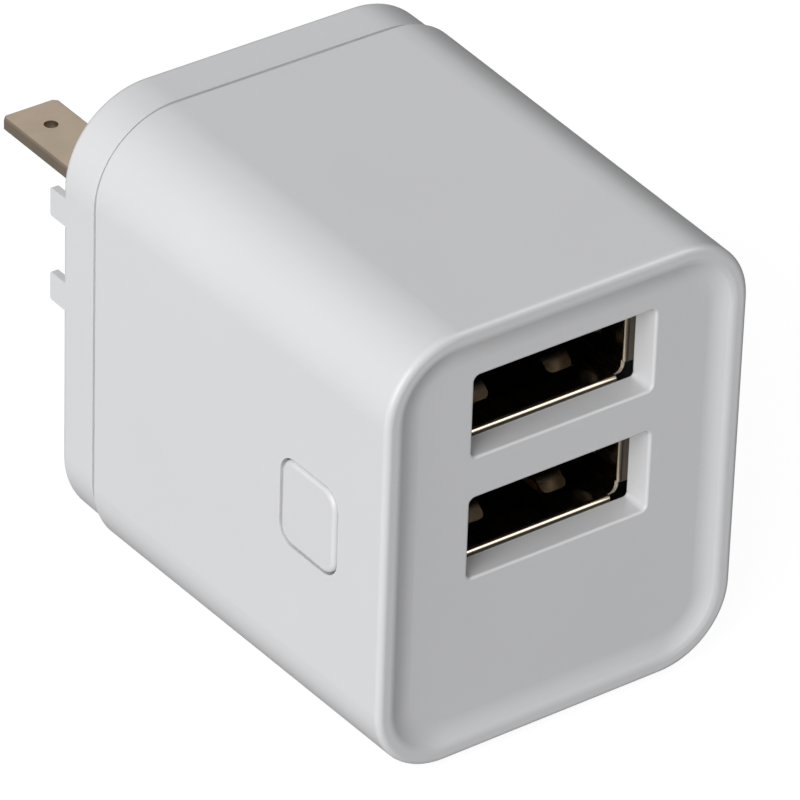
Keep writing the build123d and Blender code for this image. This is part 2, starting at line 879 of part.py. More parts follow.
def choke_winding(x, y):
    height = choke_height - 2 * (choke_flange + coil_gap)
    low = board_top + choke_flange + coil_gap
    coil = upright(x, y, low, choke_radius - 0.3, height)
    return coil - upright(x, y, low - 1, choke_waist + coil_gap, height + 2)


def disc_part(x, y, radius, thickness):
    """A dipped disc on two leads, standing across the board."""
    z = board_top + radius + 1.0
    disc = along_y(x, y - thickness / 2, y + thickness / 2, z, radius)
    disc = fillet(disc.edges().filter_by(GeomType.CIRCLE), thickness * 0.4)
    for side in (-1, 1):
        disc += upright(x + side * radius * 0.55, y, board_top, lead_radius, radius)
    return disc


def leaded_block(x, y, size_x, size_y, size_z):
    """A moulded block on four short leads, such as a rectifier bridge or optocoupler."""
    body = around(x, y, board_top + 0.6 + size_z / 2, size_x, size_y, size_z)
    body = chamfer(body.edges().filter_by(Axis.Z), 0.3)
    for side_x in (-1, 1):
        for side_y in (-1, 1):
            lead_x = x + side_x * (size_x / 2 - 0.9)
            lead_y = y + side_y * (size_y / 2 - 0.8)
            body += around(lead_x, lead_y, board_top + 0.5, 0.5, 0.5, 1.0)
    return body


def fuse_resistor(x, y, length):
    """A flame-proof fusible resistor lying across the board on two bent leads."""
    z = board_top + fuse_radius + 0.3
    body = along_x(x - length / 2, x + length / 2, y, z, fuse_radius)
    body = fillet(body.edges().filter_by(GeomType.CIRCLE), 0.5)
    for side in (-1, 1):
        foot_x = x + side * (length / 2 + 0.5)
        ends = sorted((x + side * length * 0.4, foot_x))
        body += along_x(ends[0], ends[1], y, z, lead_radius)
        body += upright(foot_x, y, board_top, lead_radius, z - board_top + lead_radius)
    return body


def board_chip(x, z, size_x, size_z, thickness):
    """A small package on the back of the USB board."""
    chip = around(x, usb_board_back + thickness / 2, z, size_x, thickness, size_z)
    return chamfer(chip.edges().group_by(Axis.Y)[-1], min(thickness, 0.3) * 0.6)


def chip_below(x, y, size_x, size_y, thickness):
    """A small package soldered under the main board."""
    return around(x, y, board_bottom - thickness / 2, size_x, size_y, thickness)


# ---------------------------------------------------------------- build every piece
def build():
    keep("housing_shell", housing_shell())
    keep("plug_plate", plug_plate())
    for name, z in (("upper", upper_blade_z), ("lower", lower_blade_z)):
        keep(f"{name}_bearing_cap", bearing_cap(z))
    blade = blade_at(upper_blade_z)
    keep("upper_blade", blade)
    keep("upper_rotor", rotor_at(upper_blade_z, blade))
    blade = blade_at(lower_blade_z)
    keep("lower_blade", folded(blade))
    keep("lower_rotor", folded(rotor_at(lower_blade_z, blade)))
    keep("upper_contact_spring", blade_contact(upper_blade_z, -1))
    keep("lower_contact_spring", blade_contact(lower_blade_z, 1))

    all_contacts = []
    for name, z in (("upper", upper_port_z), ("lower", lower_port_z)):
        keep(f"{name}_usb_can", usb_can(z))
        keep(f"{name}_usb_tongue", usb_tongue(z))
        strips = usb_contacts(z)
        all_contacts += strips
        keep(f"{name}_usb_contacts", Compound(children=strips))

    keep("usb_board", usb_board(all_contacts))
    keep("main_board", main_board())
    keep("button_cap", button_cap())
    keep("switch_plunger", switch_plunger())
    keep("switch_base", switch_base())
    keep("switch_dome", switch_dome())
    keep("switch_board", switch_board())

    keep("transformer_core", transformer_core())
    keep("transformer_bobbin", transformer_bobbin())
    keep("transformer_winding", transformer_winding())

    keep("insulation_sheet", insulation_sheet())

    capacitor_y = bay_back - capacitor_back_gap - input_capacitor_radius
    capacitor_step = 2 * input_capacitor_radius + input_capacitor_gap
    left_x = -capacitor_step / 2 - input_capacitor_gap
    big = (input_capacitor_radius, input_capacitor_height)
    keep("input_capacitor_left", electrolytic(left_x, capacitor_y, *big))
    keep("input_capacitor_right", electrolytic(left_x + capacitor_step, capacitor_y, *big))
    small = (output_capacitor_radius, output_capacitor_height)
    keep("output_capacitor", electrolytic(side_column, capacitor_y, *small))

    start_y = panel_back + column_start
    disc_y = panel_back + column_disc
    keep("choke_core", choke_core(-side_column, start_y))
    keep("choke_winding", choke_winding(-side_column, start_y))
    keep("varistor", disc_part(-side_column, disc_y, disc_radius, disc_thickness))
    keep("y_capacitor", disc_part(side_column, disc_y, disc_radius, disc_thickness))
    keep("optocoupler", leaded_block(side_column, start_y, *optocoupler_size))
    fuse_y = bay_front + fuse_front_gap + fuse_radius
    keep("fuse_resistor", fuse_resistor(-side_column, fuse_y, fuse_length))
    bridge_y = bay_back - bridge_back_gap - bridge_length / 2
    bridge_size = (bridge_width, bridge_length, bridge_height)
    keep("bridge_rectifier", leaded_block(-side_column - bridge_shift, bridge_y, *bridge_size))

    between_z = (upper_port_z + lower_port_z) / 2
    keep("charge_controller", board_chip(controller_x, between_z, *controller_size))
    keep("output_rectifier", board_chip(rectifier_x, between_z, *rectifier_size))
    row_z = between_z + chip_resistor_rise
    resistors = [board_chip(x, row_z, *chip_resistor_size) for x in chip_resistor_places]
    keep("chip_resistors", Compound(children=resistors))
    row_z = upper_port_z + chip_capacitor_rise
    ceramics = [board_chip(x, row_z, *chip_capacitor_size) for x in chip_capacitor_places]
    keep("chip_capacitors", Compound(children=ceramics))
    rows = (capacitor_y - diode_step, capacitor_y + diode_step)
    diodes = [chip_below(x, y, *diode_size) for x in diode_places for y in rows]
    keep("rectifier_diodes", Compound(children=diodes))
    keep("power_switch", chip_below(0, transformer_y, *power_switch_size))


build()
os.makedirs("parts", exist_ok=True)
for node, shape in parts.items():
    shape.label = node
    export_step(shape, f"parts/{node}.step")
    print(f"{node:24s} solids {len(shape.solids()):2d} volume {shape.volume:9.2f}")
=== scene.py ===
# %% [markdown]
# # A wall charger with two sockets and folding blades
# The charger's solid pieces arrive from the CAD model as a frame: every piece is named, in metres,
# and already in its place, and each one rides on the body that moves it. Blender's share is the
# finish of every piece, the fine parts that repeat, the light and the camera.

# %% Load the frame
import math

import bmesh
import bpy
from mathutils import Matrix, Vector


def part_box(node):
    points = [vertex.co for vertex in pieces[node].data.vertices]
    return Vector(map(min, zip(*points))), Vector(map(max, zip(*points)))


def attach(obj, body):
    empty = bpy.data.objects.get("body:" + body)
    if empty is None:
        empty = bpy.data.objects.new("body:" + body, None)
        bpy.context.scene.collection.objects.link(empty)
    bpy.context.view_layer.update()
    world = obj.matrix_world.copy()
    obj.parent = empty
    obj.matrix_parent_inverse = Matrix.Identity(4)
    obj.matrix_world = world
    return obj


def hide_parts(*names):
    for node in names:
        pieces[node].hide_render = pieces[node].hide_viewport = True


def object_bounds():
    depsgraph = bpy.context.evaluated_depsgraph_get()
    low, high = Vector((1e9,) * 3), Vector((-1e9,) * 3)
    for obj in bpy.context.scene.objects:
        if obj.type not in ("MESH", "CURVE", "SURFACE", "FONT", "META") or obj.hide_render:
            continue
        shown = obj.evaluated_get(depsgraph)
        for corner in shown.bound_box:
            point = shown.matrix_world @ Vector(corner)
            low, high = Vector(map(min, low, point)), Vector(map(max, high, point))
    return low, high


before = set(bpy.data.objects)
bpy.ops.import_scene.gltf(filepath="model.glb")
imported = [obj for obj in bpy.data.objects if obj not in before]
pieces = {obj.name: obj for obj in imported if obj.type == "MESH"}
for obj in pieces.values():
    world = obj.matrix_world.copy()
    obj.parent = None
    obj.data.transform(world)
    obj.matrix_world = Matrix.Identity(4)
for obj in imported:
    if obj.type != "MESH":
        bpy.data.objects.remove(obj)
cad_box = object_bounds()
MM = 0.001
print("box", [round(v / MM, 2) for v in cad_box[0]], [round(v / MM, 2) for v in cad_box[1]])

# %% [markdown]
# ## Camera
# A long lens far from a small object keeps its edges almost parallel. The camera stands to the
# left of the sockets and above them. Its three axes are given as a matrix, because that also
# holds the slight tilt of the picture, which a "look at" constraint would lose.

# %% Camera
right = Vector((0.81188, -0.58316, 0.02768))
up = Vector((0.30284, 0.46120, 0.83401))
backward = Vector((-0.49913, -0.66874, 0.55105))
turn = Matrix((right, up, backward)).transposed().to_4x4()
lens = bpy.data.cameras.new("camera")
lens.sensor_width = 36.0
lens.lens = 337.1
lens.clip_start = 0.01
lens.clip_end = 20.0
camera = bpy.data.objects.new("camera", lens)
camera.matrix_world = Matrix.Translation(Vector((-243.85, -344.56, 267.64)) * MM) @ turn
bpy.context.scene.collection.objects.link(camera)
bpy.context.scene.camera = camera
print("camera", round(camera.location.length, 3), "m from the plug plate")

# %% [markdown]
# ## Floor and backdrop
# The charger stands on a plain lit table in front of a plain pale wall. Both glow softly, so they
# stay paler than the white plastic, and both are hidden from diffuse and glossy rays: the light
# on the charger then comes only from the lamps and the sky, and its underside keeps its depth.


# %% Floor and backdrop
def glowing(name, tone, glow):
    """A pale matt paint that also gives off a little light."""
    paint = bpy.data.materials.new(name)
    paint.use_nodes = True
    shader = paint.node_tree.nodes["Principled BSDF"]
    shader.inputs["Base Color"].default_value = (tone, tone, tone, 1)
    shader.inputs["Roughness"].default_value = 0.8
    shader.inputs["Emission Color"].default_value = (1, 1, 1, 1)
    shader.inputs["Emission Strength"].default_value = glow
    return paint


def staged(name, mesh, paint):
    """A piece of the studio: seen by the camera, and left out of the charger's light."""
    thing = bpy.data.objects.new(name, mesh)
    bpy.context.scene.collection.objects.link(thing)
    mesh.materials.append(paint)
    thing.visible_diffuse = False
    thing.visible_glossy = False
    return thing


floor_height = cad_box[0].z
reach = 2.0
floor_mesh = bpy.data.meshes.new("floor")
corners = [(x * reach, y * reach, floor_height) for x, y in ((-1, -1), (1, -1), (1, 1), (-1, 1))]
floor_mesh.from_pydata(corners, [], [(0, 1, 2, 3)])
staged("floor", floor_mesh, glowing("pale_floor", 0.18, 0.90))

dome = bmesh.new()
bmesh.ops.create_uvsphere(dome, u_segments=48, v_segments=24, radius=reach)
bmesh.ops.reverse_faces(dome, faces=dome.faces)
backdrop_mesh = bpy.data.meshes.new("backdrop")
dome.to_mesh(backdrop_mesh)
dome.free()
backdrop = staged("backdrop", backdrop_mesh, glowing("pale_wall", 0.1, 0.93))
backdrop.visible_shadow = False
print("floor at", round(floor_height / MM, 2), "mm")

# %% [markdown]
# ## Light
# White plastic shows its shape only by soft shading. One wide key light stands on the left, a
# little in front and above. The sky is brightest on that side and dimmer on the far one, which
# draws the rounded edges. A small panel in front on the right puts the bright line on the
# sockets' bent lips, and a large one behind gives the blade something to mirror.


# %% Lamps and sky
def placed(name, light, place):
    lamp = bpy.data.objects.new(name, light)
    lamp.location = place
    lamp.rotation_euler = Vector(place).to_track_quat("Z", "Y").to_euler()
    bpy.context.scene.collection.objects.link(lamp)
    return lamp


def sun(name, towards, strength, spread):
    """A far lamp in the direction `towards`, spread over an angle in degrees."""
    light = bpy.data.lights.new(name, "SUN")
    light.energy = strength
    light.angle = math.radians(spread)
    return placed(name, light, towards)


def panel(name, place, width, height, radiance):
    """A soft panel at `place` that faces the charger."""
    light = bpy.data.lights.new(name, "AREA")
    light.shape = "RECTANGLE"
    light.size = width
    light.size_y = height
    light.energy = radiance * math.pi * width * height
    return placed(name, light, place)


sun("key", (-0.834, -0.410, 0.369), 2.25, 50)
lip_panel = panel("lip_panel", Vector((0.50, -0.67, 0.545)) * 0.20, 0.06, 0.13, 3.2)
lip_panel.visible_diffuse = False
back_panel = panel("back_panel", (0.38, 0.50, 0.42), 0.5, 0.5, 0.55)
back_panel.visible_diffuse = False

sky = bpy.data.worlds.new("sky")
sky.use_nodes = True
sky_nodes = sky.node_tree.nodes
sky_nodes["Background"].inputs["Color"].default_value = (1, 1, 1, 1)
towards = sky_nodes.new("ShaderNodeTexCoord")
lean = sky_nodes.new("ShaderNodeVectorMath")
lean.operation = "DOT_PRODUCT"
lean.inputs[1].default_value = (-0.70, -0.10, 0.70)
level = sky_nodes.new("ShaderNodeMapRange")
level.inputs["From Min"].default_value = -1.0
level.inputs["To Min"].default_value = 0.12
level.inputs["To Max"].default_value = 0.50
sky.node_tree.links.new(towards.outputs["Generated"], lean.inputs[0])
sky.node_tree.links.new(lean.outputs["Value"], level.inputs["Value"])
sky.node_tree.links.new(level.outputs["Result"], sky_nodes["Background"].inputs["Strength"])
bpy.context.scene.world = sky
bpy.context.scene.view_settings.view_transform = "Standard"

# %% [markdown]
# ## Helpers for finishes
# Every finish starts from the Principled shader and adds what its surface needs out of three
# things: a slow change of tone, a fine change of gloss, and a shallow relief. All patterns read
# Object coordinates in metres, so a size in millimetres can be given straight to them.


# %% Pattern helpers
class Finish:
    """A material with its node tree, and short ways to add patterns to it."""

    def __init__(self, name, roughness, metallic=0.0):
        self.material = bpy.data.materials.new(name)
        self.material.use_nodes = True
        self.nodes = self.material.node_tree.nodes
        self.links = self.material.node_tree.links
        self.shader = self.nodes["Principled BSDF"]
        self.shader.inputs["Roughness"].default_value = roughness
        self.shader.inputs["Metallic"].default_value = metallic
        self.place = self.nodes.new("ShaderNodeTexCoord").outputs["Object"]

    def add(self, kind, settings=None, **inputs):
        made = self.nodes.new(kind)
        for key, value in (settings or {}).items():
            setattr(made, key, value)
        for key, value in inputs.items():
            made.inputs[key.replace("_", " ").title()].default_value = value
        return made

    def link(self, source, node, socket):
        self.links.new(source, node.inputs[socket])

    def mapped(self, size, stretch=(1, 1, 1), centre=(0, 0, 0), turned=(0, 0, 0)):
        """Object coordinates counted in steps of `size`, from `centre`."""
        mapping = self.add("ShaderNodeMapping")
        scale = [s / size for s in stretch]
        mapping.inputs["Scale"].default_value = scale
        mapping.inputs["Location"].default_value = [-c * s for c, s in zip(centre, scale)]
        mapping.inputs["Rotation"].default_value = turned
        self.link(self.place, mapping, "Vector")
        return mapping.outputs["Vector"]

    def noise(self, size, stretch=(1, 1, 1), detail=2.0):
        made = self.add("ShaderNodeTexNoise", Scale=1.0, Detail=detail)
        self.link(self.mapped(size, stretch), made, "Vector")
        return made.outputs["Fac"]

    def ramp(self, factor, *stops):
        made = self.add("ShaderNodeValToRGB")
        line = made.color_ramp.elements
        while len(line) < len(stops):
            line.new(0.5)
        for element, (position, colour) in zip(line, stops):
            element.position = position
            element.color = (*colour, 1)
        self.link(factor, made, "Fac")
        return made.outputs["Color"]

    def spread(self, factor, low, high):
        """A pattern's middle part stretched from `low` to `high`, with no flat ends."""
        made = self.add("ShaderNodeMapRange", {"clamp": False})
        made.inputs["From Min"].default_value = 0.3
        made.inputs["From Max"].default_value = 0.7
        made.inputs["To Min"].default_value = low
        made.inputs["To Max"].default_value = high
        self.link(factor, made, "Value")
        return made.outputs["Result"]

    def relief(self, *layers):
        """Each layer is (height pattern, depth in metres)."""
        before = None
        for height, depth in layers:
            made = self.add("ShaderNodeBump", Distance=depth, Strength=1.0)
            self.link(height, made, "Height")
            if before:
                self.link(before, made, "Normal")
            before = made.outputs["Normal"]
        self.link(before, self.shader, "Normal")

    def colour(self, source):
        self.link(source, self.shader, "Base Color")

    def gloss(self, source):
        self.link(source, self.shader, "Roughness")


def tone(colour, amount):
    return tuple(min(1.0, c * amount) for c in colour)


def dress(finish, *names):
    """Give a finish to CAD pieces, whose meshes stay as they are."""
    for name in names:
        mesh = pieces[name].data
        mesh.materials.clear()
        mesh.materials.append(finish.material)


# %% [markdown]
# ## Moulded plastic
# The shell, plug plate, button and rotors come out of polished steel moulds. The surface is
# smooth but never perfectly flat: it rolls gently where the plastic shrank, and its tone drifts
# a little over several millimetres. The gloss is the same all over, because a gloss pattern left
# hard-edged pale patches in the render. Anything finer would read as dirt.


# %% Plastics
plastic_ior = 1.5
shrink_roll = 0.003 * MM


def moulded(name, colour, roughness):
    made = Finish(name, roughness)
    broad = made.noise(8 * MM, detail=0.0)
    made.colour(made.ramp(broad, (0.0, tone(colour, 0.98)), (1.0, tone(colour, 1.01))))
    made.relief((broad, shrink_roll))
    made.shader.inputs["IOR"].default_value = plastic_ior
    return made


shell_plastic = moulded("shell_plastic", (0.735, 0.738, 0.75), 0.26)
plate_plastic = moulded("plate_plastic", (0.74, 0.745, 0.76), 0.28)
button_plastic = moulded("button_plastic", (0.74, 0.742, 0.753), 0.24)
rotor_plastic = moulded("rotor_plastic", (0.72, 0.722, 0.735), 0.30)
inner_plastic = moulded("inner_plastic", (0.70, 0.70, 0.69), 0.5)
dress(shell_plastic, "housing_shell")
dress(plate_plastic, "plug_plate")
dress(button_plastic, "button_cap")
dress(rotor_plastic, "upper_rotor", "lower_rotor")
dress(inner_plastic, "upper_bearing_cap", "lower_bearing_cap")

socket_black = moulded("socket_black", (0.016, 0.015, 0.015), 0.42)
switch_black = moulded("switch_black", (0.03, 0.03, 0.032), 0.38)
switch_body = moulded("switch_body", (0.05, 0.048, 0.046), 0.5)
dress(socket_black, "upper_usb_tongue", "lower_usb_tongue", "transformer_bobbin")
dress(switch_black, "switch_plunger")
dress(switch_body, "switch_base")
print("plastics", sum(m.name.endswith(("plastic", "black")) for m in bpy.data.materials))

# %% [markdown]
# ## Metals
# The blades are stamped from nickel-plated brass and tumbled, which leaves a satin with faint
# lines along the strip. The socket cans are plated steel sheet, and the contacts are rolled
# spring brass. One recipe serves them all: streaks stretched along the rolling direction change
# the gloss and cut a shallow relief.


# %% Metals
def rolled(name, colour, roughness, along=(0.04, 1, 1), streak=0.15 * MM, depth=0.00012 * MM):
    made = Finish(name, roughness, metallic=1.0)
    cloud = made.noise(2.2 * MM, detail=4.0)
    lines = made.noise(streak, stretch=along, detail=2.0)
    made.colour(made.ramp(cloud, (0.3, tone(colour, 0.9)), (0.7, colour)))
    made.gloss(made.spread(lines, roughness - 0.02, roughness + 0.03))
    made.relief((lines, depth), (made.noise(0.8 * MM), 2 * depth))
    return made


along_y = (1, 0.04, 1)
nickel_blade = rolled("nickel_blade", (0.53, 0.43, 0.33), 0.32)
can_steel = rolled("can_steel", (0.52, 0.445, 0.35), 0.13, along=along_y)
spring_brass = rolled("spring_brass", (0.72, 0.52, 0.24), 0.30)
contact_gold = rolled("contact_gold", (0.86, 0.62, 0.26), 0.22, along=along_y)
dome_steel = rolled("dome_steel", (0.66, 0.64, 0.61), 0.20, streak=0.3 * MM)

# The lips' flat rims and the can's inside look darker than the bends, because of what they mirror.
# This light doesn't bring that out, so a painted shade that follows the depth stands in for it.
can_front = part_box("upper_usb_can")[0].y
shade_reach = 3 * MM
can_place = can_steel.add("ShaderNodeSeparateXYZ")
can_steel.link(can_steel.place, can_place, "Vector")
inwards = can_steel.add("ShaderNodeMapRange")
inwards.inputs["From Min"].default_value = can_front
inwards.inputs["From Max"].default_value = can_front + shade_reach
can_steel.link(can_place.outputs["Y"], inwards, "Value")
# Painted shade: the flat rims at the front and the can's inside from about 2 mm in are darkened, the bends
# keep full tone.
painted_rim_shade, plated, painted_inner_shade = (0.22,) * 3, (1.0,) * 3, (0.40,) * 3
shade = can_steel.ramp(inwards.outputs["Result"], (0.013, painted_rim_shade), (0.04, plated), (0.6, plated), (0.9, painted_inner_shade))
# The metal's colour before the painted shade is multiplied in.
unshaded_colour = can_steel.shader.inputs["Base Color"].links[0].from_socket
shaded = can_steel.add("ShaderNodeVectorMath", {"operation": "MULTIPLY"})
can_steel.link(unshaded_colour, shaded, 0)
can_steel.link(shade, shaded, 1)
can_steel.colour(shaded.outputs["Vector"])
dress(nickel_blade, "upper_blade", "lower_blade")
dress(can_steel, "upper_usb_can", "lower_usb_can")
dress(spring_brass, "upper_contact_spring", "lower_contact_spring")
dress(contact_gold, "upper_usb_contacts", "lower_usb_contacts")
dress(dome_steel, "switch_dome")
metals = (nickel_blade, can_steel, spring_brass, contact_gold, dome_steel)
print("metals", [metal.material.name for metal in metals])

# %% [markdown]
# ## Boards
# A circuit board is glass-fibre sheet under green solder mask, and the copper tracks below the
# mask show as slightly raised, lighter lines. A brick pattern of very long bricks gives close
# parallel tracks with a few cross links. It is turned to lie in each board's own plane.


# %% Boards
def masked_board(name, turned):
    made = Finish(name, 0.32)
    tracks = made.add("ShaderNodeTexBrick", {"offset": 0.37, "squash": 1.0}, Scale=1.0)
    tracks.inputs["Color1"].default_value = (0, 0, 0, 1)
    tracks.inputs["Color2"].default_value = (0.05, 0.05, 0.05, 1)
    tracks.inputs["Mortar"].default_value = (1, 1, 1, 1)
    tracks.inputs["Mortar Size"].default_value = 0.07
    tracks.inputs["Mortar Smooth"].default_value = 0.15
    tracks.inputs["Brick Width"].default_value = 7.3
    tracks.inputs["Row Height"].default_value = 0.5
    made.link(made.mapped(1.3 * MM, turned=turned), tracks, "Vector")
    made.colour(made.ramp(tracks.outputs["Color"], (0.1, (0.013, 0.10, 0.036)), (0.9, (0.024, 0.155, 0.056))))
    made.relief((tracks.outputs["Color"], 0.02 * MM), (made.noise(0.08 * MM), 0.001 * MM))
    made.gloss(made.spread(made.noise(0.9 * MM), 0.26, 0.40))
    return made


quarter = math.pi / 2
dress(masked_board("board_flat", (0, 0, 0)), "main_board")
dress(masked_board("board_facing_back", (quarter, 0, 0)), "usb_board")
dress(masked_board("board_facing_side", (0, quarter, 0)), "switch_board")

# %% [markdown]
# ## Transformer, capacitors and small parts
# Ferrite is a dull grey-black ceramic with tiny pits. The winding is wrapped in amber tape,
# whose turns show as faint edges. Capacitors wear a shrink sleeve with a pale stripe on the
# negative side, and the can's bare aluminium shows on top.


# %% Ceramics, tape and packages
def speckled(name, colour, roughness, pit=0.1 * MM, depth=0.004 * MM, contrast=0.7):
    made = Finish(name, roughness)
    spots = made.noise(pit, detail=4.0)
    made.colour(made.ramp(spots, (0.35, tone(colour, contrast)), (0.65, colour)))
    made.relief((spots, depth))
    made.gloss(made.spread(made.noise(0.8 * MM), roughness - 0.05, roughness + 0.08))
    return made


def taped(name, colour, width):
    made = Finish(name, 0.28)
    turns = made.add("ShaderNodeTexWave", {"bands_direction": "Y", "wave_profile": "SAW"}, Scale=0.16)
    made.link(made.mapped(width), turns, "Vector")
    made.colour(made.ramp(turns.outputs["Fac"], (0.0, tone(colour, 0.72)), (0.12, colour)))
    made.relief((turns.outputs["Fac"], 0.03 * MM), (made.noise(0.4 * MM), 0.006 * MM))
    return made


ferrite = speckled("ferrite", (0.035, 0.034, 0.036), 0.55)
disc_blue = speckled("disc_blue", (0.03, 0.12, 0.42), 0.34, pit=0.5 * MM, depth=0.01 * MM)
chip_black = speckled("chip_black", (0.022, 0.022, 0.024), 0.5, pit=0.06 * MM, depth=0.002 * MM)
resistor_body = speckled("resistor_body", (0.22, 0.40, 0.33), 0.45, pit=0.3 * MM)
ceramic_tan = speckled("ceramic_tan", (0.36, 0.24, 0.13), 0.4)
winding_tape = taped("winding_tape", (0.33, 0.17, 0.025), 2.4 * MM)
barrier_sheet = taped("barrier_sheet", (0.78, 0.74, 0.62), 5 * MM)
copper_wire = rolled("copper_wire", (0.62, 0.22, 0.07), 0.26, streak=0.3 * MM)
dress(ferrite, "transformer_core", "choke_core")
dress(disc_blue, "varistor", "y_capacitor")
dress(chip_black, "optocoupler", "bridge_rectifier", "charge_controller", "output_rectifier")
dress(chip_black, "chip_resistors", "rectifier_diodes", "power_switch")
dress(resistor_body, "fuse_resistor")
dress(ceramic_tan, "chip_capacitors")
dress(winding_tape, "transformer_winding")
dress(barrier_sheet, "insulation_sheet")
dress(copper_wire, "choke_winding")


# %% Capacitor sleeves
def sleeved(name, centre, radius, top):
    """A dark sleeve, a pale stripe towards the wall, and bare aluminium on top."""
    made = Finish(name, 0.24)
    spot = made.add("ShaderNodeSeparateXYZ")
    made.link(made.mapped(radius, centre=centre), spot, "Vector")
    stripe = made.ramp(spot.outputs["Y"], (0.86, (0.012, 0.016, 0.05)), (0.88, (0.55, 0.56, 0.60)))
    height = made.add("ShaderNodeMath", {"operation": "GREATER_THAN"})
    height.inputs[1].default_value = (top - centre[2] - 0.12 * MM) / radius
    made.link(spot.outputs["Z"], height, 0)
    mix = made.add("ShaderNodeMix", {"data_type": "RGBA"})
    made.link(height.outputs["Value"], mix, 0)
    made.link(stripe, mix, 6)
    mix.inputs[7].default_value = (0.72, 0.72, 0.73, 1)
    made.colour(mix.outputs[2])
    made.link(height.outputs["Value"], made.shader, "Metallic")
    made.relief((made.noise(0.7 * MM), 0.006 * MM))
    return made


for name in ("input_capacitor_left", "input_capacitor_right", "output_capacitor"):
    low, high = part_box(name)
    middle = (low + high) / 2
    radius = (high.x - low.x) / 2
    dress(sleeved("sleeve_" + name, (middle.x, middle.y, low.z), radius, high.z), name)
    print(name, "radius", round(radius / MM, 2), "mm")

# %% [markdown]
# ## What repeats
# Wound wire and solder joints are many copies of one small shape, which suits Geometry Nodes: a
# tree places the copies, and its named inputs hold the sizes. A fixed seed keeps the little
# differences the same each time. Each result is then turned into a plain mesh, so nothing is left
# to compute when the part is used.


# %% Geometry Nodes helpers
class Tree:
    """A Geometry Nodes tree with named inputs."""

    def __init__(self, name, **inputs):
        self.group = bpy.data.node_groups.new(name, "GeometryNodeTree")
        face = self.group.interface
        face.new_socket("Geometry", in_out="INPUT", socket_type="NodeSocketGeometry")
        for key, kind in inputs.items():
            face.new_socket(key, in_out="INPUT", socket_type="NodeSocket" + kind)
        face.new_socket("Geometry", in_out="OUTPUT", socket_type="NodeSocketGeometry")
        self.start = self.group.nodes.new("NodeGroupInput")

    def add(self, kind, links=None, **values):
        made = self.group.nodes.new(kind)
        for key, value in values.items():
            made.inputs[key.replace("_", " ")].default_value = value
        for socket, source in (links or {}).items():
            self.group.links.new(source, made.inputs[socket])
        return made

    def close(self, geometry, material):
        self.material = material
        real = self.add("GeometryNodeRealizeInstances", {"Geometry": geometry})
        smooth = self.add("GeometryNodeSetShadeSmooth", {"Geometry": real.outputs[0]})
        paint = self.add("GeometryNodeSetMaterial", {"Geometry": smooth.outputs[0]}, Material=material)
        self.add("NodeGroupOutput", {"Geometry": paint.outputs[0]})


def grown(name, mesh, tree, **values):
    """Run a tree on a mesh and return the result as a piece with a plain mesh."""
    seed = bpy.data.objects.new(name + "_seed", mesh)
    bpy.context.scene.collection.objects.link(seed)
    modifier = seed.modifiers.new(name, "NODES")
    modifier.node_group = tree.group
    for item in tree.group.interface.items_tree:
        if item.in_out == "INPUT" and item.name in values:
            modifier[item.identifier] = values[item.name]
    depsgraph = bpy.context.evaluated_depsgraph_get()
    result = bpy.data.meshes.new_from_object(seed.evaluated_get(depsgraph))
    result.name = name
    seed.modifiers.clear()
    bpy.data.objects.remove(seed)
    piece = bpy.data.objects.new(name, result)
    bpy.context.scene.collection.objects.link(piece)
    result.materials.clear()
    result.materials.append(tree.material)
    print(name, len(result.polygons), "faces of", tree.material.name)
    return piece


def points_mesh(name, points):
    mesh = bpy.data.meshes.new(name)
    mesh.from_pydata([tuple(p) for p in points], [], [])
    return mesh


# %% [markdown]
# ## Choke winding
# The choke is enamelled copper wire wound turn by turn between the ferrite's flanges. Each turn
# lies against the one below, so the coil reads as a stack of thin rings whose sizes differ a
# little, as hand-fed wire does. The tree makes one ring, sets it on every point of a line, and
# changes each ring's size and tilt by a seeded random amount.

# %% Choke winding
enamel = rolled("enamelled_copper", (0.58, 0.20, 0.06), 0.24, streak=0.3 * MM)
turns = Tree("wound_turns", Radius="Float", Wire="Float", Seed="Int")
ring = turns.add("GeometryNodeCurvePrimitiveCircle", {"Radius": turns.start.outputs["Radius"]}, Resolution=48)
wire = turns.add("GeometryNodeCurvePrimitiveCircle", {"Radius": turns.start.outputs["Wire"]}, Resolution=10)
tube = turns.add(
    "GeometryNodeCurveToMesh",
    {"Curve": ring.outputs["Curve"], "Profile Curve": wire.outputs["Curve"]},
)
tilt = turns.add("FunctionNodeRandomValue", {"Seed": turns.start.outputs["Seed"]})
tilt.data_type = "FLOAT_VECTOR"
tilt.inputs[0].default_value = (-0.01, -0.01, 0)
tilt.inputs[1].default_value = (0.01, 0.01, 6.28)
size = turns.add("FunctionNodeRandomValue", {"Seed": turns.start.outputs["Seed"]})
size.inputs[2].default_value = 0.975
size.inputs[3].default_value = 1.0
stack = turns.add(
    "GeometryNodeInstanceOnPoints",
    {
        "Points": turns.start.outputs["Geometry"],
        "Instance": tube.outputs["Mesh"],
        "Rotation": tilt.outputs[0],
        "Scale": size.outputs[1],
    },
)
turns.close(stack.outputs["Instances"], enamel.material)

low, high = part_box("choke_winding")
middle = (low + high) / 2
wire_radius = 0.15 * MM
count = int((high.z - low.z) / (2 * wire_radius))
first = middle.z - (count - 1) * wire_radius
column = [(middle.x, middle.y, first + 2 * wire_radius * step) for step in range(count)]
choke_turns = grown(
    "choke_turns",
    points_mesh("turn_places", column),
    turns,
    Radius=(high.x - low.x) / 2 - wire_radius,
    Wire=wire_radius,
    Seed=7,
)
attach(choke_turns, "charger")
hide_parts("choke_winding")

# %% [markdown]
# ## Solder joints
# Every leaded part ends in a small bright cone of solder on the far side of its board. A joint
# is a hollow-sided cone, since molten solder climbs the lead and wets the pad. The tree sets one
# cone on each lead and varies its size, and the leads' places come from the boxes of
# the parts themselves.

# %% Solder joints
solder = rolled("solder", (0.74, 0.73, 0.71), 0.24, streak=0.2 * MM)


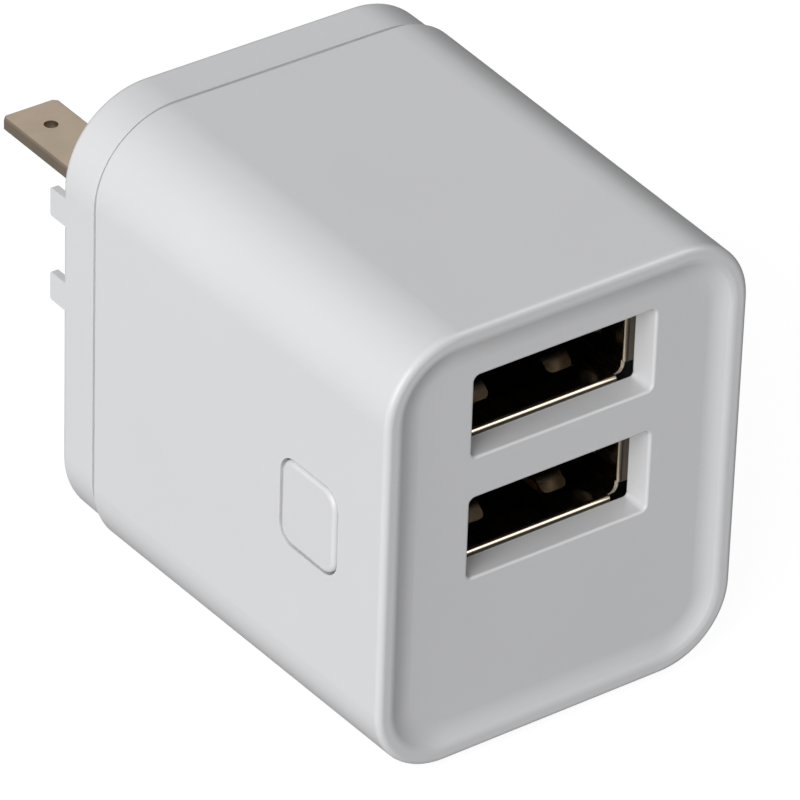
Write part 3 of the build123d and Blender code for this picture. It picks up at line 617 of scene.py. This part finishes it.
def fillet_cone(name):
    """One solder joint, a unit wide and high, standing on its pad."""
    outline = [(1.0, 0.0), (0.72, 0.10), (0.46, 0.34), (0.30, 0.68), (0.22, 0.92), (0.10, 1.0)]
    steps = 16
    mesh = bpy.data.meshes.new(name)
    points, faces = [], []
    for radius, height in outline:
        for step in range(steps):
            angle = 2 * math.pi * step / steps
            points.append((radius * math.cos(angle), radius * math.sin(angle), height))
    for row in range(len(outline) - 1):
        for step in range(steps):
            a, b = row * steps + step, row * steps + (step + 1) % steps
            faces.append((a, b, b + steps, a + steps))
    last = (len(outline) - 1) * steps
    faces.append(tuple(range(last, last + steps)))
    faces.append(tuple(reversed(range(steps))))
    mesh.from_pydata(points, [], faces)
    return bpy.data.objects.new(name, mesh)


cone = fillet_cone("solder_cone")
joints = Tree("solder_joints", Width="Float", Facing="Rotation", Seed="Int")
shape = joints.add("GeometryNodeObjectInfo")
shape.inputs["Object"].default_value = cone
spin = joints.add("FunctionNodeRandomValue", {"Seed": joints.start.outputs["Seed"]})
spin.inputs[2].default_value = 0.85
spin.inputs[3].default_value = 1.0
grow = joints.add("ShaderNodeMath", {0: spin.outputs[1], 1: joints.start.outputs["Width"]})
grow.operation = "MULTIPLY"
planted = joints.add(
    "GeometryNodeInstanceOnPoints",
    {
        "Points": joints.start.outputs["Geometry"],
        "Instance": shape.outputs["Geometry"],
        "Rotation": joints.start.outputs["Facing"],
        "Scale": grow.outputs[0],
    },
)
joints.close(planted.outputs["Instances"], solder.material)


def leads_of(name, spread_x, spread_y=0.0):
    """The places of a part's leads under the main board, from the middle of its box."""
    low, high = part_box(name)
    middle = (low + high) / 2
    rows = (-spread_y, spread_y) if spread_y else (0.0,)
    return [(middle.x + side * spread_x, middle.y + row, board_under) for side in (-1, 1) for row in rows]


board_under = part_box("main_board")[0].z
main_leads = []
for name, spread_x, spread_y in (
    ("input_capacitor_left", 1.25, 0),
    ("input_capacitor_right", 1.25, 0),
    ("output_capacitor", 1.0, 0),
    ("varistor", 1.21, 0),
    ("y_capacitor", 1.21, 0),
    ("choke_core", 1.3, 0),
    ("optocoupler", 1.2, 1.4),
    ("bridge_rectifier", 1.0, 1.5),
    ("fuse_resistor", 1.9, 0),
    ("transformer_bobbin", 3.6, 3.2),
):
    main_leads += leads_of(name, spread_x * MM, spread_y * MM)
under_joints = grown(
    "main_board_joints",
    points_mesh("lead_places", main_leads),
    joints,
    Width=0.55 * MM,
    Facing=(math.pi, 0.0, 0.0),
    Seed=3,
)
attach(under_joints, "charger")

contact_places = (-3.5, -1.0, 1.0, 3.5)
half_tail = 0.25 * MM
back_of_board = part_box("usb_board")[1].y
tails = []
for name in ("upper_usb_contacts", "lower_usb_contacts"):
    tail_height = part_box(name)[0].z + half_tail
    tails += [(x * MM, back_of_board, tail_height) for x in contact_places]
socket_joints = grown(
    "socket_joints",
    points_mesh("tail_places", tails),
    joints,
    Width=0.6 * MM,
    Facing=(-quarter, 0.0, 0.0),
    Seed=5,
)
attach(socket_joints, "charger")
bpy.data.objects.remove(cone)
